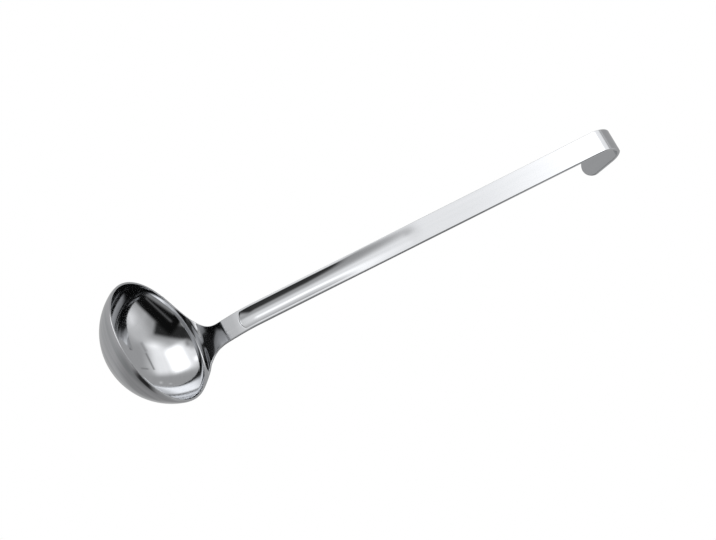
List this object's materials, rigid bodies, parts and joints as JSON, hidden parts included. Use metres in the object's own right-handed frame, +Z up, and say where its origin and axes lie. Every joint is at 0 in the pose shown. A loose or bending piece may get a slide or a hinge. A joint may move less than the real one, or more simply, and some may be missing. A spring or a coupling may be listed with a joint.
{
  "type": "soup ladle",
  "caption": "Round deep-bowled soup ladle pressed from one steel sheet, with a flared neck, a long leaning flat handle with a finger groove, and a rolled-back hanging hook.",
  "frame": {"origin": "on the table, under the middle of the ladle as it lies on the side of its bowl and on the tip of its hook", "axes": "+X from the bowl to the hook, +Z up from the table, +Y across, so that XZ is the plane of symmetry"},
  "size_m": [0.3881, 0.095, 0.0889],
  "materials": {
    "bowl_steel": "mirror-polished stainless steel",
    "handle_steel": "polished stainless steel"
  },
  "bodies": {
    "root": {"bowl": "bowl_steel", "neck": "handle_steel", "foot": "handle_steel", "handle": "handle_steel", "hook": "handle_steel"}
  },
  "joints": []
}
